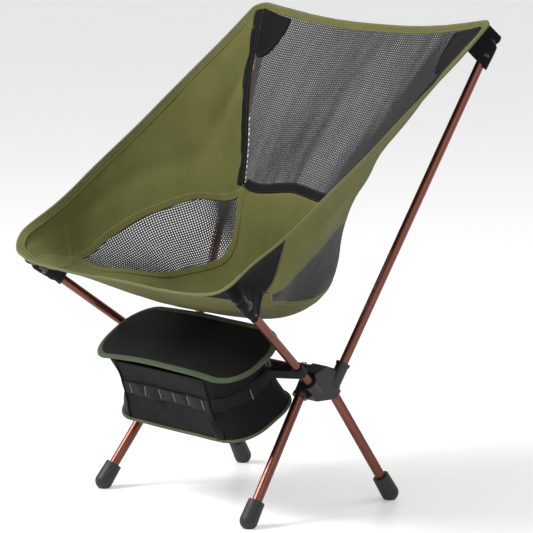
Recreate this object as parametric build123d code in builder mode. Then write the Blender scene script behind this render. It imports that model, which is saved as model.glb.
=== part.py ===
"""Ultralight backpacking chair: hub frame, shock-corded poles, hanging seat and storage bag.

Millimetres, +Z up, the sitter faces -Y. The origin is on the ground under the middle of
the chair. Right means +X, as seen from the front, and the left-hand pieces mirror the right-hand ones.
"""
from build123d import *
import os

os.makedirs("parts", exist_ok=True)

# Poles
leg_radius = 7.0
arm_radius = 6.25
tube_wall = 0.9
running_gap = 0.05
cord_radius = 1.5
section_joint = 237.0        # along a back arm, from its hub socket to its section joint
ferrule_length = 70.0
plug_head = 6.0              # length of a tip plug outside its tube

# Where the right-hand poles leave the hub, and where they end
front_leg_mouth = Vector(138.5, -32.5, 160.6)
front_leg_foot = Vector(158.4, -145.5, 0)
rear_leg_mouth = Vector(138.0, 30.0, 156.4)
rear_leg_foot = Vector(158.5, 123.5, 0)
front_arm_mouth = Vector(157.0, -32.0, 184.0)
front_arm_tip = Vector(221.0, -214.0, 330.0)
back_arm_mouth = Vector(158.0, 30.0, 203.4)
back_arm_tip = Vector(234.0, 232.0, 640.0)

# Hub
socket_depth = 30.0
socket_floor = 3.0
socket_wall = 2.7
lip_length = 5.0
lip_height = 1.2
cord_hole_depth = 12.0       # below a socket's bore
cord_hole_gap = 0.5
cord_end_gap = 8.0           # from a pole's hub end to its cord's end
boss_wall = 3.0
cross_tube_center = (-3.0, 190.0)      # y, z
cross_tube_radius = 7.0
cross_tube_half = 124.0
boss_start = 106.0
rivet_radius = 2.0
rivet_x = 115.0
rivet_head = 1.6             # height of a head, and how far it stands out all round
web_outline = [(-27, 170), (-20, 155), (20, 154), (25, 172), (22, 194), (-2, 203), (-22, 194)]
web_inner_x, web_outer_x = 129.0, 159.0
web_corner = 6.0
web_edge = 3.0

# Foot caps
cap_radius = 12.5
cap_length = 40.0
cap_tube_stop = 16.0         # the leg tube ends this far up the cap
cap_dome_trim = 2.5          # cut off the dome's end where the cap stands
cap_draft = 2.0              # degrees

# Tip plugs
plug_insert = 12.0           # length inside the tube
plug_round = 3.0
plug_cord_gap = 14.0         # from the plug's head to the cord's end

# Seat: thickness of the fabric's solids, and the gap between two of them at a seam
fabric = 2.0
tape = 3.0
pocket_depth = 45.0
pocket_wall = 2.5
pocket_gap = 0.5             # round the pole's tip

# Bag: a wall band between a floor and a lid, each a round-cornered rectangle on its own slope
bag_floor_middle = Vector(0, -83.0, 135.0)
bag_floor_slope = 27.7
bag_half_length = 144.0
bag_half_depth = 59.0
bag_corner = 46.0
bag_rim = 1.5                # floor's edge outside the wall
bag_wall = 3.0
bag_seam_x = 98.0            # the front and back walls meet the ends here
lid_middle = Vector(0, -118.0, 224.0)
lid_slope = 31.2
lid_half_length = 162.0
lid_half_depth = 58.0
lid_corner = 50.0
lid_thickness = 3.0
lid_gap = 0.6
panel_gap = 0.3
strap_from_hub = 34.0        # along a front arm, from its hub socket to the strap's ring
strap_width = 25.0
strap_thickness = 2.0
strap_slack = 0.5            # round the arm
strap_on_bag = (-104.0, -92.0)   # the strap's sewn end, in y
strap_height = 16.0


def finish(piece, label):
    """Name a finished piece and write it."""
    piece.part.label = label
    export_step(piece.part, f"parts/{label}.step")


def mirrored(point):
    return Vector(-point.X, point.Y, point.Z)


def on_side(point, side):
    return point if side == "right" else mirrored(point)


def tube(label, start, end, radius, wall):
    """A straight tube, or a solid rod where the wall is as thick as the radius."""
    with BuildPart() as piece:
        with BuildSketch(Plane(origin=start, z_dir=end - start)):
            Circle(radius)
            if wall < radius:
                Circle(radius - wall, mode=Mode.SUBTRACT)
        extrude(amount=(end - start).length)
    finish(piece, label)


def along(start, end, distance):
    return start + (end - start).normalized() * distance


# ---------------------------------------------------------------- hubs and cross tube
right_sockets = [
    (front_leg_mouth, front_leg_foot, leg_radius),
    (rear_leg_mouth, rear_leg_foot, leg_radius),
    (front_arm_mouth, front_arm_tip, arm_radius),
    (back_arm_mouth, back_arm_tip, arm_radius),
]

for side, sign in (("left", -1), ("right", 1)):
    with BuildPart() as hub:
        # web that carries the four sockets
        with BuildSketch(Plane.YZ.offset(sign * web_inner_x)) as web:
            with BuildLine():
                Polyline(*web_outline, close=True)
            make_face()
            fillet(web.vertices(), web_corner)
        extrude(amount=sign * (web_outer_x - web_inner_x))
        fillet(hub.faces().filter_by(Axis.X).edges(), web_edge)
        # sockets
        for mouth, end, radius in right_sockets:
            bottom = along(mouth, end, -socket_depth - socket_floor)
            with BuildSketch(Plane(origin=on_side(bottom, side), z_dir=on_side(end - mouth, side))):
                Circle(radius + socket_wall)
            extrude(amount=socket_depth + socket_floor)
            lip = along(mouth, end, -lip_length)
            with BuildSketch(Plane(origin=on_side(lip, side), z_dir=on_side(end - mouth, side))):
                Circle(radius + socket_wall + lip_height)
            extrude(amount=lip_length)
        # boss for the cross tube
        with BuildSketch(Plane.YZ.offset(sign * boss_start)):
            with Locations(cross_tube_center):
                Circle(cross_tube_radius + boss_wall)
        extrude(amount=sign * (web_inner_x + boss_wall - boss_start))
        # bores, each with a smaller hole in its floor for the shock cord
        for mouth, end, radius in right_sockets:
            for depth, bore in ((socket_depth, radius + running_gap),
                                (socket_depth + cord_hole_depth, cord_radius + cord_hole_gap)):
                start = along(mouth, end, -depth)
                with BuildSketch(Plane(origin=on_side(start, side), z_dir=on_side(end - mouth, side))):
                    Circle(bore)
                extrude(amount=depth + 1, mode=Mode.SUBTRACT)
        with BuildSketch(Plane.YZ.offset(sign * (boss_start - 1))):
            with Locations(cross_tube_center):
                Circle(cross_tube_radius + running_gap)
        extrude(amount=sign * (cross_tube_half + 1 - boss_start), mode=Mode.SUBTRACT)
        with BuildSketch(Plane.XY.offset(cross_tube_center[1] - 2 * cross_tube_radius)):
            with Locations((sign * rivet_x, cross_tube_center[0])):
                Circle(rivet_radius + running_gap)
        extrude(amount=4 * cross_tube_radius, mode=Mode.SUBTRACT)
    finish(hub, f"hub_{side}")

with BuildPart() as cross_tube:
    with BuildSketch(Plane.YZ.offset(-cross_tube_half)):
        with Locations(cross_tube_center):
            Circle(cross_tube_radius)
            Circle(cross_tube_radius - tube_wall, mode=Mode.SUBTRACT)
    extrude(amount=2 * cross_tube_half)
    with BuildSketch(Plane.XY.offset(cross_tube_center[1] - 2 * cross_tube_radius)):
        with Locations((-rivet_x, cross_tube_center[0]), (rivet_x, cross_tube_center[0])):
            Circle(rivet_radius + running_gap)
    extrude(amount=4 * cross_tube_radius, mode=Mode.SUBTRACT)
finish(cross_tube, "cross_tube")

with BuildPart() as hub_rivets:
    boss_radius = cross_tube_radius + boss_wall
    head_height = boss_radius + panel_gap + rivet_head / 2
    for x in (-rivet_x, rivet_x):
        with Locations((x, cross_tube_center[0], cross_tube_center[1])):
            Cylinder(rivet_radius, 2 * head_height)
            with Locations((0, 0, head_height), (0, 0, -head_height)):
                Cylinder(rivet_radius + rivet_head, rivet_head)
finish(hub_rivets, "hub_rivets")

# ---------------------------------------------------------------- legs
for side in ("left", "right"):
    for end_name, mouth, foot in (("front", front_leg_mouth, front_leg_foot),
                                  ("rear", rear_leg_mouth, rear_leg_foot)):
        name = f"{end_name}_{side}"
        mouth = on_side(mouth, side)
        foot = on_side(foot, side)
        top = along(mouth, foot, -socket_depth)
        tube_end = along(foot, mouth, cap_tube_stop)
        tube(f"leg_{name}", top, tube_end, leg_radius, tube_wall)
        tube(f"leg_cord_{name}", along(top, foot, -cord_end_gap), along(tube_end, mouth, cord_radius),
             cord_radius, cord_radius)

        # rubber cap with a domed end, trimmed flat where it stands on the ground
        dome = along(foot, mouth, (cap_radius - cap_dome_trim) / (mouth - foot).normalized().Z)
        with BuildPart() as cap:
            with BuildSketch(Plane(origin=dome, z_dir=mouth - foot)):
                Circle(cap_radius)
            extrude(amount=cap_length - (dome - foot).length, taper=cap_draft)
            with Locations(dome):
                Sphere(cap_radius)
            with BuildSketch(Plane(origin=tube_end, z_dir=mouth - foot)):
                Circle(leg_radius + running_gap)
            extrude(amount=cap_length, mode=Mode.SUBTRACT)
            split(bisect_by=Plane.XY, keep=Keep.TOP)
        finish(cap, f"foot_cap_{name}")

# ---------------------------------------------------------------- seat arms
def tip_plug(label, tip, mouth):
    """Domed plug that closes a pole's free end and holds its shock cord."""
    seat_end = along(tip, mouth, plug_head)
    with BuildPart() as plug:
        with BuildSketch(Plane(origin=along(seat_end, mouth, plug_insert), z_dir=tip - mouth)):
            Circle(arm_radius - tube_wall - running_gap)
        extrude(amount=plug_insert)
        with BuildSketch(Plane(origin=seat_end, z_dir=tip - mouth)):
            Circle(arm_radius)
        extrude(amount=plug_head)
        fillet(plug.edges().filter_by(GeomType.CIRCLE).sort_by_distance(tip)[0], plug_round)
    finish(plug, label)


for side in ("left", "right"):
    mouth = on_side(front_arm_mouth, side)
    tip = on_side(front_arm_tip, side)
    base = along(mouth, tip, -socket_depth)
    tube(f"arm_front_{side}", base, along(tip, mouth, plug_head), arm_radius, tube_wall)
    tube(f"arm_cord_front_{side}", along(base, tip, -cord_end_gap), along(tip, mouth, plug_head + plug_cord_gap),
         cord_radius, cord_radius)
    tip_plug(f"tip_plug_front_{side}", tip, mouth)

    mouth = on_side(back_arm_mouth, side)
    tip = on_side(back_arm_tip, side)
    base = along(mouth, tip, -socket_depth)
    joint = along(mouth, tip, section_joint)
    tube(f"arm_back_lower_{side}", base, joint, arm_radius, tube_wall)
    tube(f"arm_back_upper_{side}", joint, along(tip, mouth, plug_head), arm_radius, tube_wall)
    tube(f"ferrule_{side}", along(joint, tip, -ferrule_length / 2), along(joint, tip, ferrule_length / 2),
         arm_radius - tube_wall - running_gap, tube_wall)
    tube(f"arm_cord_back_{side}", along(base, tip, -cord_end_gap), along(tip, mouth, plug_head + plug_cord_gap),
         cord_radius, cord_radius)
    tip_plug(f"tip_plug_back_{side}", tip, mouth)

# ---------------------------------------------------------------- seat surface
# The fabric is one smooth surface, point (u, v): u runs from the left edge (-1) through the
# middle (0) to the right edge (1), and v from the front edge (0) to the top edge (1).
# Each row below is half a cross-line of it: middle, bucket, wing and edge point.
seat_u = [0, 0.45, 0.75, 1]
seat_rows = {
    0.00: [(0, -237, 326), (120, -238, 325), (195, -238, 330), (238, -236, 346)],
    0.05: [(0, -209, 316), (120, -211, 317), (201, -208, 335), (239, -211, 366)],
    0.12: [(0, -161, 292), (120, -154, 296), (205, -151, 325), (240, -159, 394)],
    0.27: [(0, -79, 266), (130, -66, 286), (201, -89, 346), (242, -81, 446)],
    0.42: [(0, -1, 253), (140, -3, 293), (186, -27, 381), (243, -5, 497)],
    0.54: [(0, 61, 268), (118, 49, 318), (153, 41, 404), (243, 42, 531)],
    0.68: [(0, 73, 412), (97, 68, 413), (150, 73, 462), (243, 88, 564)],
    0.84: [(0, 153, 528), (112, 147, 525), (176, 137, 543), (244, 159, 614)],
    1.00: [(0, 236, 642), (115, 235, 646), (195, 230, 656), (243, 224, 664)],
}
# Seams, as (v, u) pairs: the side netting's upper and lower seam
net_top_seam = [(0.12, 0.755), (0.24, 0.77), (0.42, 0.755), (0.55, 0.735), (0.62, 0.63), (0.68, 0.45)]
net_low_seam = [(0.12, 0.755), (0.15, 0.67), (0.22, 0.58), (0.29, 0.51), (0.39, 0.465), (0.50, 0.435),
                (0.59, 0.415), (0.68, 0.45)]


def smooth(knots, values, at):
    """Value at one place on the smooth curve through values given at knots."""
    count = len(knots)
    slopes = []
    for i in range(count):
        low, high = max(i - 1, 0), min(i + 1, count - 1)
        if low < i < high:
            before = (values[i] - values[low]) * (1 / (knots[i] - knots[low]))
            after = (values[high] - values[i]) * (1 / (knots[high] - knots[i]))
            share = (knots[i] - knots[low]) / (knots[high] - knots[low])
            slopes.append(before * (1 - share) + after * share)
        else:
            slopes.append((values[high] - values[low]) * (1 / (knots[high] - knots[low])))
    k = max(i for i in range(count - 1) if knots[i] <= at or i == 0)
    step = knots[k + 1] - knots[k]
    s = (at - knots[k]) / step
    return (values[k] * (2 * s**3 - 3 * s**2 + 1) + slopes[k] * (step * (s**3 - 2 * s**2 + s))
            + values[k + 1] * (3 * s**2 - 2 * s**3) + slopes[k + 1] * (step * (s**3 - s**2)))


def seat_point(u, v):
    """Point of the fabric surface."""
    half = [smooth(list(seat_rows), [Vector(*row[i]) for row in seat_rows.values()], v) for i in range(4)]
    row = [mirrored(p) for p in half[:0:-1]] + half
    return smooth([-k for k in seat_u[:0:-1]] + seat_u, row, u)


def seam(pairs, v):
    return smooth([p[0] for p in pairs], [p[1] for p in pairs], v)


def back_seam(v):
    """Seam between the back netting and a wing."""
    return 0.45 + 1.53 * (v - 0.68)


def limit_at(limit, v):
    return limit(v) if callable(limit) else limit


def outward(u, v):
    """Direction away from the sitter, square to the fabric."""
    across = seat_point(u + 0.01, v) - seat_point(u - 0.01, v)
    up = seat_point(u, min(v + 0.01, 1)) - seat_point(u, max(v - 0.01, 0))
    return up.cross(across).normalized()


def seat_solid(limits, thickness, across, up):
    """Thin closed solid under a stretch of the fabric surface; its u limits may be functions of v."""
    low_u, high_u, low_v, high_v = limits
    inner, outer = [], []
    for j in range(up + 1):
        v = low_v + (high_v - low_v) * j / up
        left, right = limit_at(low_u, v), limit_at(high_u, v)
        places = [left + (right - left) * i / across for i in range(across + 1)]
        inner.append([seat_point(u, v) for u in places])
        outer.append([seat_point(u, v) + outward(u, v) * thickness for u in places])
    quads = []
    for j in range(up):
        for i in range(across):
            for sheet in (inner, outer):
                quads.append((sheet[j][i], sheet[j][i + 1], sheet[j + 1][i + 1], sheet[j + 1][i]))
    for j in range(up):
        for i in (0, across):
            quads.append((inner[j][i], outer[j][i], outer[j + 1][i], inner[j + 1][i]))
    for i in range(across):
        for j in (0, up):
            quads.append((inner[j][i], outer[j][i], outer[j][i + 1], inner[j][i + 1]))
    faces = []
    for a, b, c, d in quads:
        faces.append(Face(Wire.make_polygon([a, b, c])))
        faces.append(Face(Wire.make_polygon([a, c, d])))
    return Solid(Shell(faces))


def seat_panel(label, limits, thickness, across=8, up=8):
    """A panel or tape of the seat."""
    with BuildPart() as panel:
        add(seat_solid(limits, thickness, across, up))
    finish(panel, label)


def mirror_limits(limits):
    """The same stretch of fabric on the other side."""
    low_u, high_u, low_v, high_v = limits

    def flip(limit):
        return (lambda v: -limit(v)) if callable(limit) else -limit

    return flip(high_u), flip(low_u), low_v, high_v


def paired_panel(label, limits, thickness, across=8, up=8):
    seat_panel(f"{label}_right", limits, thickness, across, up)
    seat_panel(f"{label}_left", mirror_limits(limits), thickness, across, up)


def wing_seam(v):
    return seam(net_top_seam, v) if v < 0.68 else back_seam(v)


def patch_edge(v):
    """Inner edge of the black patch at a top corner."""
    return 0.787 - 1.27 * (v - 0.9)


def netting_edge(v):
    return min(back_seam(v) - tape_u, patch_edge(v)) - seam_gap


def centre_seam(v):
    return seam(net_low_seam, v) if v > 0.12 else 0.755


seam_gap = 0.008             # half the gap between two panels, in u
tape_u = 0.035               # width of an edge tape, in u
tape_v = 0.02                # width of the front and top edge tapes, in v
corner_front_v = 0.14        # the corner pieces take over from the edge tapes here
corner_top_v = 0.93
strap_v = 0.70               # top of the black tape under the back netting
top_tape_v = 1 - tape_v - 0.004

seat_panel("centre_panel", (lambda v: seam_gap - centre_seam(v), lambda v: centre_seam(v) - seam_gap,
                            tape_v + 0.004, 0.675), fabric, 12, 16)
paired_panel("wing", (lambda v: wing_seam(v) + seam_gap, 1 - tape_u - seam_gap, corner_front_v, corner_top_v),
             fabric, 6, 16)
paired_panel("side_netting", (lambda v: seam(net_low_seam, v) + seam_gap,
                              lambda v: seam(net_top_seam, v) - seam_gap, 0.15, 0.655), fabric, 4, 12)
seat_panel("back_netting", (lambda v: -netting_edge(v), netting_edge, strap_v, top_tape_v), fabric, 12, 14)
seat_panel("netting_tape_bottom", (-0.45, 0.45, 0.68, strap_v - 0.004), tape, 10, 2)
paired_panel("netting_tape", (lambda v: back_seam(v) - tape_u, lambda v: back_seam(v) - seam_gap, strap_v, 0.9),
             tape, 2, 12)
seat_panel("edge_tape_front", (-0.75, 0.75, 0, tape_v), tape, 16, 2)
seat_panel("edge_tape_top", (-0.9, 0.9, 1 - tape_v, 1), tape, 16, 2)
paired_panel("edge_tape_side", (1 - tape_u, 1, corner_front_v, corner_top_v), tape, 2, 16)
paired_panel("corner_patch", (patch_edge, lambda v: back_seam(v) - seam_gap, 0.905, top_tape_v), tape, 4, 4)


# Corner pockets: a moulded cup for the pole's tip, and the fabric corner it is sewn to
def corner_pocket(label, tip, mouth, limits):
    cup_start = along(tip, mouth, pocket_depth)
    cup_depth = pocket_depth + 1
    with BuildPart() as pocket:
        with BuildSketch(Plane(origin=cup_start, z_dir=tip - mouth)):
            Circle(arm_radius + pocket_gap + pocket_wall)
        extrude(amount=cup_depth + pocket_wall)
        fillet(pocket.edges().filter_by(GeomType.CIRCLE).sort_by_distance(tip)[0], 4)
        with BuildSketch(Plane(origin=cup_start, z_dir=tip - mouth)):
            Circle(arm_radius + pocket_gap)
        extrude(amount=cup_depth, mode=Mode.SUBTRACT)
        add(seat_solid(limits, tape, 4, 4))
        with BuildSketch(Plane(origin=cup_start, z_dir=tip - mouth)):
            Circle(arm_radius + pocket_gap)
        extrude(amount=cup_depth, mode=Mode.SUBTRACT)
    finish(pocket, label)


front_corner = (0.765, 1, 0, corner_front_v - 0.004)
top_corner = (lambda v: back_seam(v) + seam_gap, 1, corner_top_v + 0.004, 1)
corner_pocket("pocket_front_right", front_arm_tip, front_arm_mouth, front_corner)
corner_pocket("pocket_front_left", mirrored(front_arm_tip), mirrored(front_arm_mouth), mirror_limits(front_corner))
corner_pocket("pocket_top_right", back_arm_tip, back_arm_mouth, top_corner)
corner_pocket("pocket_top_left", mirrored(back_arm_tip), mirrored(back_arm_mouth), mirror_limits(top_corner))

# ---------------------------------------------------------------- storage bag
def sloped_plane(middle, slope, lift):
    """Plane across the chair that rises to the back, lifted square to itself."""
    plane = Plane(origin=middle, x_dir=(1, 0, 0), z_dir=Vector(0, 0, 1).rotate(Axis.X, slope))
    return plane.offset(lift)


bag_rise = (lid_middle - bag_floor_middle).normalized()
floor_plane = sloped_plane(bag_floor_middle, bag_floor_slope, 0)

with BuildPart() as bag_floor:
    with BuildSketch(floor_plane):
        RectangleRounded(2 * (bag_half_length + bag_rim), 2 * (bag_half_depth + bag_rim), bag_corner + bag_rim)
    extrude(amount=bag_wall)
finish(bag_floor, "bag_floor")

with BuildPart() as wall_band:
    with BuildSketch(floor_plane.offset(bag_wall + panel_gap)):
        RectangleRounded(2 * bag_half_length, 2 * bag_half_depth, bag_corner)
        RectangleRounded(2 * (bag_half_length - bag_wall), 2 * (bag_half_depth - bag_wall),
                         bag_corner - bag_wall, mode=Mode.SUBTRACT)
    extrude(amount=2 * (lid_middle - bag_floor_middle).length, dir=bag_rise)
    split(bisect_by=sloped_plane(lid_middle, lid_slope, -lid_gap), keep=Keep.BOTTOM)

reach = 4 * bag_half_length
front_and_back = wall_band.part & Box(2 * bag_seam_x - panel_gap, reach, reach)
back_wall, front_wall = front_and_back.solids().sort_by(Axis.Y, reverse=True)
for wall, name in ((front_wall, "bag_front"), (back_wall, "bag_back")):
    with BuildPart() as bag_side:
        add(wall)
    finish(bag_side, name)

for side, sign in (("left", -1), ("right", 1)):
    half_space = Pos(sign * (bag_seam_x + panel_gap / 2 + reach / 2), 0, 0) * Box(reach, reach, reach)
    with BuildPart() as bag_end:
        add(wall_band.part & half_space)
    finish(bag_end, f"bag_end_{side}")

    # strap from the end of the bag, looped round the front arm
    ring_middle = on_side(along(front_arm_mouth, front_arm_tip, strap_from_hub), side)
    arm_way = on_side((front_arm_tip - front_arm_mouth).normalized(), side)
    ring_radius = arm_radius + strap_slack
    wall_x = sign * (bag_half_length + panel_gap)
    with BuildPart() as strap:
        with BuildSketch(Plane.XY.offset(ring_middle.Z - strap_height / 2)):
            with BuildLine():
                Polyline((wall_x, strap_on_bag[0]), (wall_x, strap_on_bag[1]),
                         (ring_middle.X, ring_middle.Y + strap_thickness),
                         (ring_middle.X, ring_middle.Y - ring_radius), close=True)
            make_face()
        extrude(amount=strap_height)
        with BuildSketch(Plane(origin=ring_middle - arm_way * strap_width / 2, z_dir=arm_way)):
            Circle(ring_radius + strap_thickness)
        extrude(amount=strap_width)
        with BuildSketch(Plane(origin=ring_middle - arm_way * strap_width, z_dir=arm_way)):
            Circle(ring_radius)
        extrude(amount=2 * strap_width, mode=Mode.SUBTRACT)
    finish(strap, f"bag_strap_{side}")

with BuildPart() as bag_lid:
    with BuildSketch(sloped_plane(lid_middle, lid_slope, 0)):
        RectangleRounded(2 * lid_half_length, 2 * lid_half_depth, lid_corner)
    extrude(amount=lid_thickness)
finish(bag_lid, "bag_lid")
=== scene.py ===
import math

import bmesh
import bpy
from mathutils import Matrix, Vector, noise


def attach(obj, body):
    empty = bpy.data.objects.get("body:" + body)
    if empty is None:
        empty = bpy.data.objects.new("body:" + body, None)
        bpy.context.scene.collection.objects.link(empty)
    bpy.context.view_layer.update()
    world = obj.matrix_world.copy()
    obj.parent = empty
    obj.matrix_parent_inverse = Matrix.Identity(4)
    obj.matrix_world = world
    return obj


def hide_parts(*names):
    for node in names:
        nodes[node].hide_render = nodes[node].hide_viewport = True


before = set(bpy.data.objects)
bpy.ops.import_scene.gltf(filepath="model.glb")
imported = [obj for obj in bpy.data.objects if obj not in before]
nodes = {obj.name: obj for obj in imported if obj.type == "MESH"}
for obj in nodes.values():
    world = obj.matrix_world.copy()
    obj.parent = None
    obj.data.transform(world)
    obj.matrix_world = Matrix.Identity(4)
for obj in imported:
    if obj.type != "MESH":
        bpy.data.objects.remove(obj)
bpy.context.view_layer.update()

# ---------------------------------------------------------------- view, floor and light
# The chair stands on a plain pale floor in a white studio. A long lens looks at it from the
# front right, a little above the seat, with one soft key light on the left.
azimuth, elevation = math.radians(49.24), math.radians(8.88)
target = Vector((0, 0.028, 0.3166))
away = Vector((math.sin(azimuth) * math.cos(elevation), -math.cos(azimuth) * math.cos(elevation),
               math.sin(elevation)))
camera_data = bpy.data.cameras.new("camera")
camera_data.lens = 206.7
camera_data.sensor_width = 36
camera_data.clip_end = 200
camera = bpy.data.objects.new("camera", camera_data)
camera.location = target + away * 4.25
camera.rotation_euler = away.to_track_quat("Z", "Y").to_euler()
bpy.context.scene.collection.objects.link(camera)
bpy.context.scene.camera = camera
bpy.context.scene.view_settings.view_transform = "Standard"


def start_material(name):
    """New node material; returns it with its node tree, shader and Object coordinates."""
    material = bpy.data.materials.new(name)
    material.use_nodes = True
    tree = material.node_tree
    shader = tree.nodes["Principled BSDF"]
    place = tree.nodes.new("ShaderNodeTexCoord")
    return material, tree, shader, place.outputs["Object"]


def noise_node(tree, place, scale, detail=3, roughness=0.55, stretch=None):
    """Noise texture output, on stretched coordinates where a stretch is given."""
    if stretch:
        mapping = tree.nodes.new("ShaderNodeMapping")
        mapping.inputs["Scale"].default_value = stretch
        tree.links.new(place, mapping.inputs["Vector"])
        place = mapping.outputs["Vector"]
    texture = tree.nodes.new("ShaderNodeTexNoise")
    texture.inputs["Scale"].default_value = scale
    texture.inputs["Detail"].default_value = detail
    texture.inputs["Roughness"].default_value = roughness
    tree.links.new(place, texture.inputs["Vector"])
    return texture.outputs["Fac"]


def ramp_node(tree, factor, stops):
    """Colour ramp output through (position, colour) stops."""
    ramp = tree.nodes.new("ShaderNodeValToRGB")
    elements = ramp.color_ramp.elements
    while len(elements) < len(stops):
        elements.new(0.5)
    for element, (position, colour) in zip(elements, stops):
        element.position = position
        element.color = (*colour, 1)
    tree.links.new(factor, ramp.inputs["Fac"])
    return ramp.outputs["Color"]


def range_node(tree, factor, low, high, to_low, to_high):
    """Factor between low and high, mapped to another range."""
    node = tree.nodes.new("ShaderNodeMapRange")
    for socket, value in zip(("From Min", "From Max", "To Min", "To Max"), (low, high, to_low, to_high)):
        node.inputs[socket].default_value = value
    tree.links.new(factor, node.inputs["Value"])
    return node.outputs["Result"]


def maths_node(tree, operation, first, second):
    """Math node on two outputs or numbers."""
    node = tree.nodes.new("ShaderNodeMath")
    node.operation = operation
    for socket, value in zip(node.inputs, (first, second)):
        if hasattr(value, "links"):
            tree.links.new(value, socket)
        else:
            socket.default_value = value
    return node.outputs["Value"]


def bump_node(tree, shader, height, distance, strength=1.0, under=None):
    """Bump from a height, on top of another bump's normal where one is given."""
    bump = tree.nodes.new("ShaderNodeBump")
    bump.inputs["Distance"].default_value = distance
    bump.inputs["Strength"].default_value = strength
    tree.links.new(height, bump.inputs["Height"])
    if under:
        tree.links.new(under, bump.inputs["Normal"])
    tree.links.new(bump.outputs["Normal"], shader.inputs["Normal"])
    return bump.outputs["Normal"]


floor_finish, tree, shader, place = start_material("floor")
tree.links.new(ramp_node(tree, noise_node(tree, place, 3), [(0, (0.86, 0.86, 0.86)), (1, (0.9, 0.9, 0.9))]),
               shader.inputs["Base Color"])
shader.inputs["Roughness"].default_value = 0.32
shader.inputs["Specular IOR Level"].default_value = 0.35
shader.inputs["Emission Color"].default_value = (1, 1, 1, 1)
shader.inputs["Emission Strength"].default_value = 0.22
bpy.ops.object.select_all(action="DESELECT")
bpy.ops.mesh.primitive_plane_add(size=60)
floor = bpy.context.object
floor.name = "floor"
floor.data.materials.append(floor_finish)

world = bpy.data.worlds.new("studio")
world.use_nodes = True
world.node_tree.nodes["Background"].inputs["Color"].default_value = (1, 1, 1, 1)
world.node_tree.nodes["Background"].inputs["Strength"].default_value = 0.62
bpy.context.scene.world = world


def soft_light(name, place, size, power):
    """Square area light at a place, turned to the chair."""
    data = bpy.data.lights.new(name, "AREA")
    data.size = size
    data.energy = power
    light = bpy.data.objects.new(name, data)
    light.location = place
    light.rotation_euler = (Vector(place) - Vector((0, 0, 0.3))).to_track_quat("Z", "Y").to_euler()
    bpy.context.scene.collection.objects.link(light)


soft_light("key", (-1.3, -2.2, 2.6), 1.3, 110)
soft_light("fill", (3.2, -1.2, 1.6), 1.6, 16)
soft_light("back", (0.8, 3.0, 2.6), 1.8, 24)


# ---------------------------------------------------------------- hub and cross tube
# Two black moulded nylon hubs hold the poles in sockets. A bronze anodised aluminium tube
# joins them across the chair, with a steel rivet through each end.
def dress(node, material):
    """Give a CAD node its finish."""
    mesh = nodes[node].data
    mesh.materials.clear()
    mesh.materials.append(material)


def plastic(name, colour, light_colour, roughness, grain, depth):
    """Moulded plastic or rubber with a fine spark-eroded grain."""
    material, tree, shader, place = start_material(name)
    cloud = noise_node(tree, place, 40, 4)
    tree.links.new(ramp_node(tree, cloud, [(0.3, colour), (0.75, light_colour)]), shader.inputs["Base Color"])
    tree.links.new(range_node(tree, cloud, 0.3, 0.7, roughness - 0.06, roughness + 0.08),
                   shader.inputs["Roughness"])
    bump_node(tree, shader, noise_node(tree, place, grain, 2), depth, 0.6)
    return material


def metal(name, colour, light_colour, roughness):
    """Drawn metal tube: a cloudy tone and faint rubbed marks."""
    material, tree, shader, place = start_material(name)
    cloud = noise_node(tree, place, 18, 5)
    tree.links.new(ramp_node(tree, cloud, [(0.25, colour), (0.8, light_colour)]), shader.inputs["Base Color"])
    shader.inputs["Metallic"].default_value = 1
    rubbed = noise_node(tree, place, 260, 4, 0.6)
    tree.links.new(range_node(tree, rubbed, 0.3, 0.75, roughness - 0.05, roughness + 0.1),
                   shader.inputs["Roughness"])
    bump_node(tree, shader, rubbed, 0.00004, 0.4)
    return material


nylon = plastic("moulded nylon", (0.004, 0.004, 0.0045), (0.011, 0.011, 0.0115), 0.36, 2200, 0.00006)
anodised = metal("anodised tube", (0.165, 0.058, 0.044), (0.215, 0.084, 0.066), 0.3)
bare_metal = metal("bare aluminium", (0.62, 0.62, 0.64), (0.78, 0.78, 0.8), 0.28)
for name in ("hub_left", "hub_right"):
    dress(name, nylon)
dress("cross_tube", anodised)
dress("hub_rivets", bare_metal)

# ---------------------------------------------------------------- poles
# Aluminium tubes, anodised bronze, with a shock cord inside. Each leg ends in a black rubber
# cap; each back arm is in two sections that meet over a ferrule; plastic plugs close the tips.
rubber = plastic("foot rubber", (0.008, 0.008, 0.008), (0.016, 0.016, 0.0155), 0.55, 900, 0.0001)


def braid(name, colour, light_colour):
    """Braided elastic cord."""
    material, tree, shader, place = start_material(name)
    wave = tree.nodes.new("ShaderNodeTexWave")
    wave.bands_direction = "DIAGONAL"
    wave.inputs["Scale"].default_value = 400
    tree.links.new(place, wave.inputs["Vector"])
    tree.links.new(ramp_node(tree, wave.outputs["Fac"], [(0.2, colour), (0.8, light_colour)]),
                   shader.inputs["Base Color"])
    shader.inputs["Roughness"].default_value = 0.8
    bump_node(tree, shader, wave.outputs["Fac"], 0.0002, 0.8)
    return material


cord_braid = braid("shock cord", (0.01, 0.01, 0.01), (0.05, 0.05, 0.05))
for side in ("left", "right"):
    for end in ("front", "rear"):
        dress(f"leg_{end}_{side}", anodised)
        dress(f"foot_cap_{end}_{side}", rubber)
        dress(f"leg_cord_{end}_{side}", cord_braid)
    for name in ("arm_front", "arm_back_lower", "arm_back_upper"):
        dress(f"{name}_{side}", anodised)
    for end in ("front", "back"):
        dress(f"arm_cord_{end}_{side}", cord_braid)
        dress(f"tip_plug_{end}_{side}", nylon)
    dress(f"ferrule_{side}", bare_metal)

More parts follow.
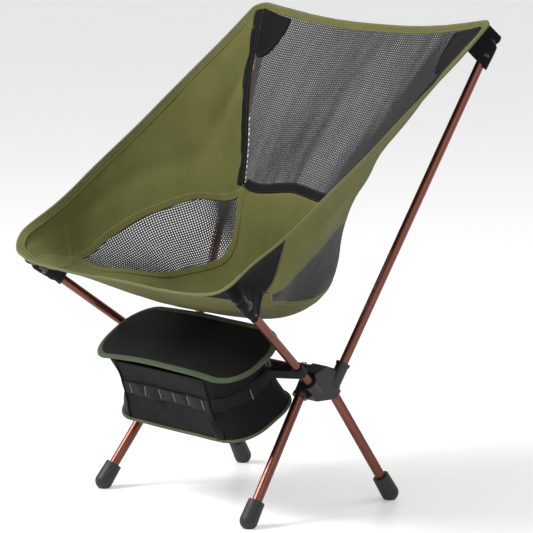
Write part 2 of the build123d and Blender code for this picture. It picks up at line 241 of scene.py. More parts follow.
# ---------------------------------------------------------------- seat fabric
# The seat is cut from olive woven polyester. Its panels lie on one smooth surface, point
# (u, v): u from the left edge (-1) to the right edge (1), v from the front (0) to the top (1).
seat_u = [0, 0.45, 0.75, 1]
seat_rows = {
    0.00: [(0, -0.237, 0.326), (0.120, -0.238, 0.325), (0.195, -0.238, 0.330), (0.238, -0.236, 0.346)],
    0.05: [(0, -0.209, 0.316), (0.120, -0.211, 0.317), (0.201, -0.208, 0.335), (0.239, -0.211, 0.366)],
    0.12: [(0, -0.161, 0.292), (0.120, -0.154, 0.296), (0.205, -0.151, 0.325), (0.240, -0.159, 0.394)],
    0.27: [(0, -0.079, 0.266), (0.130, -0.066, 0.286), (0.201, -0.089, 0.346), (0.242, -0.081, 0.446)],
    0.42: [(0, -0.001, 0.253), (0.140, -0.003, 0.293), (0.186, -0.027, 0.381), (0.243, -0.005, 0.497)],
    0.54: [(0, 0.061, 0.268), (0.118, 0.049, 0.318), (0.153, 0.041, 0.404), (0.243, 0.042, 0.531)],
    0.68: [(0, 0.073, 0.412), (0.097, 0.068, 0.413), (0.150, 0.073, 0.462), (0.243, 0.088, 0.564)],
    0.84: [(0, 0.153, 0.528), (0.112, 0.147, 0.525), (0.176, 0.137, 0.543), (0.244, 0.159, 0.614)],
    1.00: [(0, 0.236, 0.642), (0.115, 0.235, 0.646), (0.195, 0.230, 0.656), (0.243, 0.224, 0.664)],
}
net_top_seam = [(0.12, 0.755), (0.24, 0.77), (0.42, 0.755), (0.55, 0.735), (0.62, 0.63), (0.68, 0.45)]
net_low_seam = [(0.12, 0.755), (0.15, 0.67), (0.22, 0.58), (0.29, 0.51), (0.39, 0.465), (0.50, 0.435),
                (0.59, 0.415), (0.68, 0.45)]


def smooth(knots, values, at):
    """Value at one place on the smooth curve through values given at knots."""
    count = len(knots)
    slopes = []
    for i in range(count):
        low, high = max(i - 1, 0), min(i + 1, count - 1)
        if low < i < high:
            before = (values[i] - values[low]) * (1 / (knots[i] - knots[low]))
            after = (values[high] - values[i]) * (1 / (knots[high] - knots[i]))
            share = (knots[i] - knots[low]) / (knots[high] - knots[low])
            slopes.append(before * (1 - share) + after * share)
        else:
            slopes.append((values[high] - values[low]) * (1 / (knots[high] - knots[low])))
    k = max(i for i in range(count - 1) if knots[i] <= at or i == 0)
    step = knots[k + 1] - knots[k]
    s = (at - knots[k]) / step
    return (values[k] * (2 * s**3 - 3 * s**2 + 1) + slopes[k] * (step * (s**3 - 2 * s**2 + s))
            + values[k + 1] * (3 * s**2 - 2 * s**3) + slopes[k + 1] * (step * (s**3 - s**2)))


row_cache = {}


def seat_row(v):
    """Both halves of the cross-line at v."""
    if v not in row_cache:
        half = [smooth(list(seat_rows), [Vector(row[i]) for row in seat_rows.values()], v) for i in range(4)]
        row_cache[v] = [Vector((-p.x, p.y, p.z)) for p in half[:0:-1]] + half
    return row_cache[v]


def seat_point(u, v):
    return smooth([-k for k in seat_u[:0:-1]] + seat_u, seat_row(v), u)


def outward(u, v):
    """Direction away from the sitter, square to the fabric."""
    across = seat_point(min(u + 0.01, 1), v) - seat_point(max(u - 0.01, -1), v)
    up = seat_point(u, min(v + 0.01, 1)) - seat_point(u, max(v - 0.01, 0))
    return up.cross(across).normalized()


corner_u = {0: 0.125, 1: 0.11}       # size of the rounded corners, at the front and at the top
corner_v = {0: 0.05, 1: 0.036}


def rounded(u, v):
    """The seat's outline is a rectangle in (u, v) with round corners: squeeze a point into it."""
    end = 0 if v < 0.5 else 1
    ru, rv = corner_u[end], corner_v[end]
    q = (abs(u) - (1 - ru)) / ru
    p = (rv - (v if end == 0 else 1 - v)) / rv
    if q > 0 and p > 0:
        shrink = max(q, p) / math.hypot(q, p)
        u = math.copysign(1 - ru + q * shrink * ru, u)
        v = rv - p * shrink * rv
        v = v if end == 0 else 1 - v
    return u, v


def ease(low, high, x):
    s = min(max((x - low) / (high - low), 0), 1)
    return s * s * (3 - 2 * s)


def slack(u, v):
    """How far the cloth stands off its smooth surface: soft folds and fine ripples."""
    side = abs(u)
    fold = 0
    # long soft crease across each wing, from the front corner to the top
    line = 0.90 - 0.10 * ease(0.15, 0.9, v)
    fold += 0.0022 * math.exp(-((side - line) / 0.03) ** 2) * ease(0.1, 0.25, v) * (1 - ease(0.8, 0.95, v))
    # gentle waves in the loose parts
    wave = noise.noise(Vector((u * 3.1, v * 4.3, 0.7)))
    fold += 0.0035 * wave * ease(0, 0.06, v) * (1 - ease(0.93, 1, v)) * (1 - ease(0.9, 1, side))
    fine = noise.noise(Vector((u * 14, v * 17, 5.1)))
    fold += 0.0007 * fine * (1 - ease(0.96, 1, side))
    return fold


half_width, whole_length = 0.30, 0.78     # the cloth's own size, for the weave


def cloth_point(u, v, lift=0.0):
    """Point of the real cloth, lifted away from the sitter."""
    u, v = rounded(u, v)
    return seat_point(u, v) + outward(u, v) * (lift + slack(u, v))


def only_select(*things):
    bpy.ops.object.select_all(action="DESELECT")
    for thing in things:
        thing.select_set(True)
    bpy.context.view_layer.objects.active = things[0]


def apply_modifier(piece, kind, **settings):
    """Add a modifier to a piece and apply it."""
    only_select(piece)
    modifier = piece.modifiers.new(kind.lower(), kind)
    for key, value in settings.items():
        setattr(modifier, key, value)
    bpy.ops.object.modifier_apply(modifier=modifier.name)


def grid(name, across, up, place_at, uv_at=None):
    """Flat grid whose points are then laid at place_at(a, b), with a and b from 0 to 1."""
    bpy.ops.object.select_all(action="DESELECT")
    bpy.ops.mesh.primitive_grid_add(x_subdivisions=across, y_subdivisions=up, size=1)
    piece = bpy.context.object
    piece.name = piece.data.name = name
    shares = [(vertex.co.x + 0.5, vertex.co.y + 0.5) for vertex in piece.data.vertices]
    if uv_at:
        layer = piece.data.uv_layers.active.data
        for loop in piece.data.loops:
            layer[loop.index].uv = uv_at(*shares[loop.vertex_index])
    for vertex, share in zip(piece.data.vertices, shares):
        vertex.co = place_at(*share)
    for polygon in piece.data.polygons:
        polygon.use_smooth = True
    return piece


def limit_at(limit, v):
    return limit(v) if callable(limit) else limit


def seat_patch(name, limits, across, up, thickness, lift=0.0, shape=None):
    """Stretch of cloth between u limits, which may be functions of v, and two v limits."""
    low_u, high_u, low_v, high_v = limits

    def at(a, b):
        v = low_v + (high_v - low_v) * b
        left, right = limit_at(low_u, v), limit_at(high_u, v)
        return left + (right - left) * a, v

    def place_at(a, b):
        u, v = at(a, b)
        return cloth_point(u, v, lift + (shape(a, b) if shape else 0))

    def uv_at(a, b):
        u, v = at(a, b)
        return u * half_width, v * whole_length

    patch = grid(name, across, up, place_at, uv_at)
    if thickness:
        apply_modifier(patch, "SOLIDIFY", thickness=thickness, offset=-1)
    return patch


def cloth(name, colour, light_colour, thread=0.0006, depth=0.00012, sheen=0.05, roughness=0.8):
    """Woven cloth: warp and weft on the piece's own UV, cloudy colour and a soft sheen."""
    material, tree, shader, place = start_material(name)
    flat = tree.nodes["Texture Coordinate"].outputs["UV"]
    threads = []
    for direction in ("X", "Y"):
        wave = tree.nodes.new("ShaderNodeTexWave")
        wave.bands_direction = direction
        wave.inputs["Scale"].default_value = 0.314 / thread
        wave.inputs["Distortion"].default_value = 0.6
        tree.links.new(flat, wave.inputs["Vector"])
        threads.append(wave.outputs["Fac"])
    weave = maths_node(tree, "MULTIPLY", threads[0], threads[1])
    cloud = noise_node(tree, place, 9, 4)
    slub = noise_node(tree, flat, 60, 3, 0.6, (1, 9, 1))
    tone = maths_node(tree, "ADD", maths_node(tree, "MULTIPLY", cloud, 0.6),
                      maths_node(tree, "ADD", maths_node(tree, "MULTIPLY", slub, 0.25),
                                 maths_node(tree, "MULTIPLY", weave, 0.25)))
    tree.links.new(ramp_node(tree, tone, [(0.3, colour), (0.8, light_colour)]), shader.inputs["Base Color"])
    shader.inputs["Roughness"].default_value = roughness
    shader.inputs["Sheen Weight"].default_value = sheen
    shader.inputs["Sheen Roughness"].default_value = 0.5
    shader.inputs["Specular IOR Level"].default_value = 0.07
    under = bump_node(tree, shader, weave, depth, 0.7)
    bump_node(tree, shader, noise_node(tree, place, 55, 3), 0.0011, 0.3, under)
    return material


olive = cloth("olive polyester", (0.094, 0.093, 0.027), (0.160, 0.160, 0.054))
# The edge binding is the same olive cloth coloured lighter: a painted highlight along the ridge of the rolled
# edge.
olive_edge_highlight = cloth("olive edge tape painted highlight", (0.110, 0.112, 0.048), (0.20, 0.20, 0.095), 0.0011, 0.0002)


# ---------------------------------------------------------------- seat panels
# Olive woven polyester. A centre panel carries the sitter from the front edge to the back
# netting, and a wing on each side runs from the front corner to the top corner.
cloth_thickness = 0.0007


def wing_seam(v):
    pairs = net_top_seam
    return smooth([p[0] for p in pairs], [p[1] for p in pairs], v) if v < 0.68 else back_seam(v)


def centre_seam(v):
    pairs = net_low_seam
    return smooth([p[0] for p in pairs], [p[1] for p in pairs], v) if v > 0.12 else 0.755


def back_seam(v):
    return 0.45 + 1.53 * (v - 0.68)


def mirror_limits(limits):
    low_u, high_u, low_v, high_v = limits
    return ((lambda v: -limit_at(high_u, v)), (lambda v: -limit_at(low_u, v)), low_v, high_v)


def sewn(piece, body, replaced, material):
    """Ride, stand-in and finish of a made piece."""
    piece.data.materials.clear()
    piece.data.materials.append(material)
    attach(piece, body)
    if replaced:
        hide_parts(*replaced)
    return piece


centre = seat_patch("seat_centre_panel", (lambda v: -centre_seam(v), centre_seam, 0.0, 0.686), 90, 84,
                    cloth_thickness)
sewn(centre, "seat", ["centre_panel"], olive)

for side, sign in (("right", 1), ("left", -1)):
    limits = (wing_seam, 1, 0.0, 1.0)
    wing = seat_patch(f"seat_wing_{side}", limits if sign > 0 else mirror_limits(limits), 30, 150,
                      cloth_thickness)
    sewn(wing, "seat", [f"wing_{side}"], olive)

# ---------------------------------------------------------------- netting
# Open square-mesh polyester netting: one piece in the back and one leaf in each side. It is
# knitted flat, so its strands run straight and are cut by the seams.
net_material, tree, shader, place = start_material("black netting")
tree.links.new(ramp_node(tree, noise_node(tree, place, 700, 2), [(0.3, (0.003, 0.003, 0.003)),
                                                                  (0.8, (0.012, 0.012, 0.012))]),
               shader.inputs["Base Color"])
shader.inputs["Roughness"].default_value = 0.6
bump_node(tree, shader, noise_node(tree, place, 2500, 2), 0.0002, 0.6)


def net(name, limits, cells, cloth_at, strand, overlap):
    """Netting with a square hole in each mesh. cloth_at(a, b) gives (u, v) over a grid of cells,
    and meshes further past the u limits than overlap, which goes into the seams, are cut off."""
    low_u, high_u, low_v, high_v = limits
    bpy.ops.object.select_all(action="DESELECT")
    bpy.ops.mesh.primitive_grid_add(x_subdivisions=cells[0], y_subdivisions=cells[1], size=1)
    piece = bpy.context.object
    piece.name = piece.data.name = name
    for vertex in piece.data.vertices:
        vertex.co = (*cloth_at(vertex.co.x + 0.5, vertex.co.y + 0.5), 0)
    bpy.ops.object.mode_set(mode="EDIT")
    shell = bmesh.from_edit_mesh(piece.data)
    for face in shell.faces:
        u, v = face.calc_center_median().xy
        inside = limit_at(low_u, v) - overlap < u < limit_at(high_u, v) + overlap and low_v < v < high_v
        face.select = not inside
    bmesh.update_edit_mesh(piece.data)
    bpy.ops.mesh.delete(type="FACE")
    for vertex in shell.verts:
        vertex.co = cloth_point(vertex.co.x, vertex.co.y, cloth_thickness / 2)
    for face in shell.faces:
        face.normal_update()
    bmesh.update_edit_mesh(piece.data)
    bpy.ops.mesh.select_all(action="SELECT")
    bpy.ops.mesh.inset(thickness=strand / 2, use_individual=True, use_boundary=True)
    bpy.ops.mesh.delete(type="FACE")
    bpy.ops.object.mode_set(mode="OBJECT")
    apply_modifier(piece, "SOLIDIFY", thickness=strand * 0.55, offset=0)
    return piece


net_pitch, net_strand = 0.0034, 0.0017


def evenly(point_at, low, high, start, pitch, count, first):
    """Values of a parameter from low to high whose points lie pitch apart along their line, with
    the one numbered first at start."""
    steps = 80
    values = [low + (high - low) * i / steps for i in range(steps + 1)]
    points = [point_at(value) for value in values]
    runs = [0.0]
    for before, after in zip(points, points[1:]):
        runs.append(runs[-1] + (after - before).length)

    def value_at(run):
        k = max((i for i in range(steps) if runs[i] <= run), default=0)
        return values[k] + (values[k + 1] - values[k]) * (run - runs[k]) / (runs[k + 1] - runs[k])

    here = max(i for i in range(steps + 1) if values[i] <= start)
    step = runs[min(here + 1, steps)] - runs[here]
    middle = runs[here] + step * (start - values[here]) * steps / (high - low)
    return [value_at(middle + (i - first) * pitch) for i in range(count + 1)]


leaf_cells = (46, 84)
middle_u = 0.60
leaf_v = evenly(lambda v: seat_point(middle_u, v), 0.08, 0.78, 0.12, net_pitch, leaf_cells[1], 0)
leaf_u = [evenly(lambda u, v=v: seat_point(u, v), 0.2, 0.98, middle_u, net_pitch, leaf_cells[0],
                 leaf_cells[0] // 2) for v in leaf_v]


net_low, net_high, seam_allowance = 0.69, 0.992, 0.012
net_limits = (lambda v: seam_allowance - back_seam(v), lambda v: back_seam(v) - seam_allowance, net_low,
              net_high)
back_net = net("seat_back_netting", net_limits, (132, 79),
               lambda a, b: (1.88 * a - 0.94, net_low + (net_high - net_low) * b),
               net_strand, 0.006)
sewn(back_net, "seat", ["back_netting"], net_material)
for side, sign in (("right", 1), ("left", -1)):
    def leaf_at(a, b, sign=sign):
        column, row = round(a * leaf_cells[0]), round(b * leaf_cells[1])
        return sign * leaf_u[row][column], leaf_v[row]

    limits = (centre_seam, wing_seam, 0.118, 0.70)
    side_net = net(f"seat_side_netting_{side}", limits if sign > 0 else mirror_limits(limits), leaf_cells,
                   leaf_at, net_strand, 0.004)
    sewn(side_net, "seat", [f"side_netting_{side}"], net_material)

# ---------------------------------------------------------------- seams and edge tapes
# Every seam is felled under a folded tape: olive round the side netting and the outline, black
# round the back netting. Two rows of lockstitch run along each tape.
def band(name, frame_at, width, thickness, steps, closed=False, shift=0.0, lift=0.0, sides=12):
    """Tape along a line. frame_at(b) gives a point and the cloth's outward direction there."""
    places = []
    for i in range(steps + 1):
        b = i / steps
        point, normal = frame_at(b)
        ahead = frame_at((b + 0.5 / steps) % 1 if closed else min(b + 0.5 / steps, 1))[0]
        behind = frame_at((b - 0.5 / steps) % 1 if closed else max(b - 0.5 / steps, 0))[0]
        side = normal.cross((ahead - behind).normalized()).normalized()
        places.append((point, normal, side))
    lengths = [0]
    for i in range(steps):
        lengths.append(lengths[-1] + (places[i + 1][0] - places[i][0]).length)

    def place_at(a, b):
        i = round(b * steps)
        point, normal, side = places[i]
        full = 0 if not closed and i in (0, steps) else 1
        angle = 2 * math.pi * a
        c, s = math.cos(angle), math.sin(angle)
        x = math.copysign(abs(c) ** 0.55, c) * width / 2 * full
        y = math.copysign(abs(s) ** 0.75, s) * thickness / 2 * full
        return point + side * (shift + x) + normal * (lift + y)

    def uv_at(a, b):
        return 2 * width * a, lengths[round(b * steps)]

    piece = grid(name, sides, steps, place_at, uv_at)
    only_select(piece)
    bpy.ops.object.mode_set(mode="EDIT")
    bpy.ops.mesh.select_all(action="SELECT")
    bpy.ops.mesh.remove_doubles(threshold=0.000005)
    bpy.ops.mesh.normals_make_consistent(inside=False)
    bpy.ops.object.mode_set(mode="OBJECT")
    return piece


bpy.ops.object.select_all(action="DESELECT")
bpy.ops.mesh.primitive_cylinder_add(vertices=5, radius=0.00035, depth=0.0024, rotation=(0, math.pi / 2, 0))
stitch = bpy.context.object
bpy.ops.object.transform_apply(rotation=True)
bpy.ops.object.mode_set(mode="EDIT")
bpy.ops.mesh.select_all(action="SELECT")
bpy.ops.mesh.bevel(offset=0.00015, segments=1)
bpy.ops.object.mode_set(mode="OBJECT")
stitch_mesh = stitch.data.copy()
bpy.data.objects.remove(stitch)


def stitches(name, frame_at, rows, pitch=0.0034, samples=400):
    """Lockstitch along a line; rows are (distance to the side, height above the line)."""
    points = [frame_at(i / samples) for i in range(samples + 1)]
    run, placed = 0.0, []
    for (first, normal), (second, _) in zip(points, points[1:]):
        step = (second - first).length
        while run <= step and step > 0:
            placed.append((first.lerp(second, run / step), normal, (second - first).normalized()))
            run += pitch
        run -= step
    shell = bmesh.new()
    for point, normal, way in placed:
        side = normal.cross(way).normalized()
        for shift, height in rows:
            start = len(shell.verts)
            shell.from_mesh(stitch_mesh)
            shell.verts.ensure_lookup_table()
            up = way.cross(side)
            centre_at = point + side * shift + normal * height
            for vertex in shell.verts[start:]:
                x, y, z = vertex.co
                vertex.co = centre_at + way * x + side * y + up * z
    mesh = bpy.data.meshes.new(name)
    shell.to_mesh(mesh)
    shell.free()
    piece = bpy.data.objects.new(name, mesh)
    bpy.context.scene.collection.objects.link(piece)
    return piece


thread_olive = plastic("olive thread", (0.16, 0.165, 0.07), (0.30, 0.30, 0.16), 0.6, 3000, 0.0001)
thread_black = plastic("black thread", (0.02, 0.02, 0.02), (0.05, 0.05, 0.05), 0.6, 3000, 0.0001)
black_tape = cloth("black tape", (0.004, 0.004, 0.0045), (0.013, 0.013, 0.013), 0.0012, 0.0002, 0.04)


def along_seam(u_at, low_v, high_v, sign=1):
    """frame_at for a seam given as u for each v."""
    def frame_at(b):
        v = low_v + (high_v - low_v) * b
        u = u_at(v) * sign
        return cloth_point(u, v), outward(*rounded(u, v))
    return frame_at


def round_edge(b):
    """frame_at for the seat's outline: front, right side, top, left side."""
    t = (b % 1) * 4
    if t < 1:
        u, v = -1 + 2 * t, 0
    elif t < 2:
        u, v = 1, t - 1
    elif t < 3:
        u, v = 1 - 2 * (t - 2), 1
    else:
        u, v = -1, 4 - t
    return cloth_point(u, v), outward(*rounded(u, v))


stitch_height = 0.0013
edge_hem = band("seat_edge_hem", round_edge, 0.0125, 0.0022, 640, closed=True, shift=-0.0058, lift=0.0003)
sewn(edge_hem, "seat", ["edge_tape_front", "edge_tape_top", "edge_tape_side_left", "edge_tape_side_right"],
     olive)
# The binding's lighter olive is a painted highlight on the edge's ridge.
edge_binding = band("seat_edge_binding", round_edge, 0.0046, 0.0034, 640, closed=True, shift=-0.0010,
                    lift=0.0003)
sewn(edge_binding, "seat", [], olive_edge_highlight)
edge_stitch = stitches("seat_edge_stitching", round_edge,
                       [(-0.0046, 0.0003 + stitch_height), (-0.0046, 0.0003 - stitch_height),
                        (-0.0100, 0.0001 + stitch_height), (-0.0100, 0.0005 - stitch_height)], samples=1200)
sewn(edge_stitch, "seat", [], thread_olive)

for side, sign in (("right", 1), ("left", -1)):
    for name, seam_at in (("upper", wing_seam), ("lower", centre_seam)):
        low_v = 0.122 if name == "upper" else 0.12
        line = along_seam(seam_at, low_v, 0.684, sign)
        away_from_net = (-1 if name == "upper" else 1) * sign
        tape = band(f"seat_seam_{name}_{side}", line, 0.0115, 0.0019, 130, shift=away_from_net * 0.002)
        sewn(tape, "seat", [], olive)
        thread = stitches(f"seat_seam_stitching_{name}_{side}", line,
                          [(away_from_net * 0.002 + s, h) for s in (-0.0036, 0.0036)
                           for h in (-0.00098, 0.00098)])
        sewn(thread, "seat", [], thread_olive)
    line = along_seam(back_seam, 0.686, 0.985, sign)
    tape = band(f"seat_tape_netting_{side}", line, 0.0125, 0.0022, 110, shift=sign * 0.0068)
    sewn(tape, "seat", [f"netting_tape_{side}"], black_tape)
    thread = stitches(f"seat_netting_stitching_{side}", line, [(sign * s, h) for s in (0.003, 0.0105)
                                                              for h in (-0.0011, 0.0011)])
    sewn(thread, "seat", [], thread_black)


def netting_foot(b):
    u = -0.462 + 0.924 * b
    return cloth_point(u, 0.692), outward(u, 0.692)


tape = band("seat_tape_netting_bottom", netting_foot, 0.0145, 0.0024, 90)
sewn(tape, "seat", ["netting_tape_bottom"], black_tape)
thread = stitches("seat_netting_stitching_bottom", netting_foot, [(s, h) for s in (-0.0055, 0.0055)
                                                                 for h in (-0.0012, 0.0012)])
sewn(thread, "seat", [], thread_black)

# ---------------------------------------------------------------- corner patches and pockets
# A black reinforced patch fills each top corner of the netting. Behind every corner a black
# pocket, sewn on round its edge, holds a moulded cup that the pole's domed plug presses into.
black_cloth = cloth("black polyester", (0.003, 0.003, 0.0035), (0.011, 0.011, 0.0115), 0.0007, 0.00012,
                    0.04, 0.7)
cup_plastic = plastic("moulded cup", (0.010, 0.010, 0.011), (0.028, 0.028, 0.03), 0.3, 1200, 0.00008)


def polar_patch(name, corner, reach_u, reach_v, sign, lift, swell, power, across=48, up=36):
    """Patch about a corner of the seat: corner is 0 at the front or 1 at the top, and the reach
    is along the edge in u and v. It is a quarter of a rounded shape, sewn down at its edge."""
    def at(a, b):
        angle = a * math.pi / 2
        x = b * math.cos(angle) ** (2 / power) * reach_u
        y = b * math.sin(angle) ** (2 / power) * reach_v
        return sign * (1 - x), (y if corner == 0 else 1 - y)

    def place_at(a, b):
        u, v = at(a, b)
        return cloth_point(u, v, lift + swell(u, v))

    def uv_at(a, b):
        u, v = at(a, b)
        return u * half_width, v * whole_length

    piece = grid(name, across, up, place_at, uv_at)
    only_select(piece)
    bpy.ops.object.mode_set(mode="EDIT")
    bpy.ops.mesh.select_all(action="SELECT")
    bpy.ops.mesh.remove_doubles(threshold=0.00001)
    bpy.ops.object.mode_set(mode="OBJECT")
    return piece, at


arm_axis = {"front": (Vector((0.221, -0.214, 0.330)), Vector((0.157, -0.032, 0.184))),
            "top": (Vector((0.234, 0.232, 0.640)), Vector((0.158, 0.030, 0.2034)))}
cup_length, cup_radius = 0.030, 0.0088


def over_pole(end, sign, radius):
    """Lift that takes the cloth over the cup on a pole's tip."""
    tip, mouth = (p.copy() for p in arm_axis[end])
    tip.x *= sign
    mouth.x *= sign
    way = (mouth - tip).normalized()

    def swell(u, v):
        u, v = rounded(u, v)
        base, normal = seat_point(u, v), outward(u, v)
        from_tip = base - tip
        along_pole = from_tip.dot(way)
        if along_pole > 0:
            flat = from_tip - way * along_pole
            rise = normal - way * normal.dot(way)
        else:
            flat, rise = from_tip, normal
        a, b, c = rise.dot(rise), flat.dot(rise), flat.dot(flat) - radius**2
        root = b * b - a * c
        return max((-b + math.sqrt(root)) / a, 0) if root > 0 else 0

    return swell


patch_low, patch_high = 0.905, 0.985


def patch_edge(v):
    """Curved inner edge of the black patch in a top corner."""
    depth = min(max((patch_high - v) / (patch_high - patch_low), 0), 1)
    reach = back_seam(patch_low) - 0.64 + (v - patch_low) * 1.2
    return back_seam(v) - reach * math.sqrt(max(1 - depth**2, 0))


for side, sign in (("right", 1), ("left", -1)):
    limits = (patch_edge, lambda v: back_seam(v) - 0.002, patch_low, patch_high)
    patch = seat_patch(f"seat_corner_patch_{side}", limits if sign > 0 else mirror_limits(limits), 20, 24,
                       0.0024, lift=-0.0009)
    sewn(patch, "seat", [f"corner_patch_{side}"], black_cloth)

    def patch_hem(b, sign=sign):
        v = patch_low + (patch_high - patch_low) * b
        u = sign * (patch_edge(v) + 0.004)
        return cloth_point(u, v), outward(u, v)

    hem = band(f"seat_corner_patch_hem_{side}", patch_hem, 0.0065, 0.0036, 40, lift=0.0002)
    sewn(hem, "seat", [], black_tape)

    for end, corner, reach_u, reach_v in (("front", 0, 0.48, 0.140), ("top", 1, 0.22, 0.085)):
        pocket, at = polar_patch(f"seat_pocket_{end}_{side}", corner, reach_u, reach_v, sign, 0.0016,
                                 over_pole(end, sign, 0.0100), 1.9)
        apply_modifier(pocket, "SMOOTH", factor=0.6, iterations=6)
        apply_modifier(pocket, "SOLIDIFY", thickness=0.0011, offset=0)
        sewn(pocket, "seat", [f"pocket_{end}_{side}"], black_cloth)

        def sewn_edge(b, at=at):
            u, v = at(min(max(b, 0.02), 0.98), 0.96)
            return cloth_point(u, v), outward(*rounded(u, v))

        thread = stitches(f"seat_pocket_stitching_{end}_{side}", sewn_edge,
                          [(0, -0.0004), (0, 0.0026), (0.003, -0.0004)])
        sewn(thread, "seat", [], thread_olive)

        # moulded cup
        tip, mouth = (p.copy() for p in arm_axis[end])
        tip.x *= sign
        mouth.x *= sign
        way = (tip - mouth).normalized()
        mouth_height = -cup_length
        profile = [(0.0069, mouth_height), (0.0100, mouth_height), (0.0103, mouth_height + 0.002),
                   (0.0100, mouth_height + 0.004), (cup_radius, mouth_height + 0.0055),
                   (cup_radius, -0.004), (0.0078, 0.0004), (0.0045, 0.0022), (0, 0.0027)]
        inner = [(0, 0.0012), (0.0062, -0.0006), (0.0069, -0.003)]
        ring = profile + inner
        count = 40
        across_way = way.orthogonal().normalized()
        up_way = way.cross(across_way)

        def cup_at(a, b):
            radius, height = ring[round(b * len(ring)) % len(ring)]
            angle = 2 * math.pi * a
            return tip + way * height + (across_way * math.cos(angle) + up_way * math.sin(angle)) * radius

        cup = grid(f"seat_pocket_cup_{end}_{side}", count, len(ring), cup_at)
        only_select(cup)
        bpy.ops.object.mode_set(mode="EDIT")
        bpy.ops.mesh.select_all(action="SELECT")
        bpy.ops.mesh.remove_doubles(threshold=0.00002)
        bpy.ops.mesh.normals_make_consistent(inside=False)
        bpy.ops.object.mode_set(mode="OBJECT")
        sewn(cup, "seat", [], cup_plastic)

# ---------------------------------------------------------------- storage bag
# A black polyester bag hangs between the hubs: a floor and a lid edged in green tape, and a
# soft wall band that falls in a little at the middle of its height.
green_tape = cloth("green tape", (0.048, 0.066, 0.034), (0.105, 0.135, 0.078), 0.0013, 0.00025, 0.1)
bag_cloth = cloth("bag polyester", (0.003, 0.003, 0.0032), (0.012, 0.012, 0.0125), 0.0008, 0.00014,
                  0.03, 0.62)
webbing = cloth("black webbing", (0.004, 0.004, 0.0045), (0.016, 0.016, 0.0165), 0.0018, 0.0004, 0.05, 0.6)
tack_green = plastic("bartack thread", (0.09, 0.115, 0.05), (0.16, 0.19, 0.09), 0.6, 2500, 0.0001)

bag_floor_middle, bag_floor_slope = Vector((0, -0.083, 0.135)), math.radians(27.7)
lid_middle, lid_slope = Vector((0, -0.118, 0.224)), math.radians(31.2)
bag_half_length, bag_half_depth, bag_corner = 0.144, 0.059, 0.046
lid_half_length, lid_half_depth, lid_corner = 0.162, 0.058, 0.050


def on_plane(middle, slope, x, w, height=0.0):
    """Point of a sloped plane: x across the chair, w up the slope, height square to it."""
    return middle + Vector((x, w * math.cos(slope) - height * math.sin(slope),
                            w * math.sin(slope) + height * math.cos(slope)))


def outline(t, half_length, half_depth, corner):
    """Round-cornered rectangle: t 0-1 front, 1-2 right end, 2-3 back, 3-4 left end."""
    t %= 4
    flat_x, flat_w = half_length - corner, half_depth - corner
    arc = corner * math.pi / 2
    if t < 1 or 2 <= t < 3:
        turn = 1 if t < 1 else -1
        return turn * flat_x * (2 * (t % 1) - 1), -turn * half_depth
    turn = 1 if t < 2 else -1
    run = (t % 1) * (2 * arc + 2 * flat_w)
    if run < arc:
        angle = run / corner
        x, w = flat_x + corner * math.sin(angle), -flat_w - corner * math.cos(angle)
    elif run < arc + 2 * flat_w:
        x, w = half_length, -flat_w + (run - arc)
    else:
        angle = (run - arc - 2 * flat_w) / corner
        x, w = flat_x + corner * math.cos(angle), flat_w + corner * math.sin(angle)
    return turn * x, turn * w


def bag_wall_point(t, b):
    """Point of the wall band: b 0 at the floor and 1 at the lid."""
    x, w = outline(t, bag_half_length, bag_half_depth, bag_corner)
    low = on_plane(bag_floor_middle, bag_floor_slope, x, w, 0.001)
    high = on_plane(lid_middle, lid_slope, x * 0.97, w * 0.95, -0.001)
    middle = bag_floor_middle.lerp(lid_middle, b)
    point = low.lerp(high, b)
    inward = (middle - point)
    inward.normalize()
    seam_near = math.exp(-((t % 1) / 0.09) ** 2) + math.exp(-((1 - t % 1) / 0.09) ** 2)
    on_end = 1 if int(t) % 2 else 0.35
    fall = 0.012 * on_end * math.sin(math.pi * b) * (1 - 0.6 * min(seam_near, 1))
    crease = noise.noise(Vector((x * 22, w * 22, b * 3.1))) * 0.0030 * math.sin(math.pi * b)
    folds = noise.noise(Vector((x * 60, w * 60, b * 5.7 + 3))) * 0.0009 * math.sin(math.pi * b)
    return point + inward * (fall + crease + folds)


walls = (("front", 0, 96), ("end_right", 1, 72), ("back", 2, 80), ("end_left", 3, 72))
for name, start, steps in walls:
    wall = grid(f"bag_wall_{name}", steps, 40,
                lambda a, b, start=start: bag_wall_point(start + a * 0.9999, b),
                lambda a, b, start=start: ((start + a) * 0.19, b * 0.1))
    apply_modifier(wall, "SOLIDIFY", thickness=0.0012, offset=-1)
    sewn(wall, "hub_frame", [f"bag_{name}"], bag_cloth)


def bag_plate(name, middle, slope, half_length, half_depth, corner, height_at, thickness):
    """Round-cornered sheet on a sloped plane."""
    def place_at(a, b):
        x, w = (2 * a - 1) * half_length, (2 * b - 1) * half_depth
        q, p = (abs(x) - (half_length - corner)) / corner, (abs(w) - (half_depth - corner)) / corner
        if q > 0 and p > 0:
            shrink = max(q, p) / math.hypot(q, p)
            x = math.copysign(half_length - corner + q * shrink * corner, x)
            w = math.copysign(half_depth - corner + p * shrink * corner, w)
        return on_plane(middle, slope, x, w, height_at(x, w))

    piece = grid(name, 96, 48, place_at, lambda a, b: (a * 2 * half_length, b * 2 * half_depth))
    apply_modifier(piece, "SOLIDIFY", thickness=thickness, offset=0)
    return piece


def floor_height(x, w):
    """The floor sags between its edges, with a few shallow creases."""
    sag = 0.005 * (1 - (x / 0.15) ** 2) * (1 - (w / 0.062) ** 2)
    return 0.0008 - sag + 0.001 * noise.noise(Vector((x * 25, w * 25, 1)))


def lid_height(x, w):
    """The lid bows up along its middle and droops at its ends and front corners."""
    droop = 0.010 * (abs(x) / lid_half_length) ** 2.4
    front = 0.004 * max(-w / lid_half_depth, 0) ** 2 * (1 - (x / lid_half_length) ** 2)
    waves = 0.0012 * noise.noise(Vector((x * 14, w * 14, 9)))
    return 0.0055 + 0.002 * (1 - (w / lid_half_depth) ** 2) - droop + front + waves


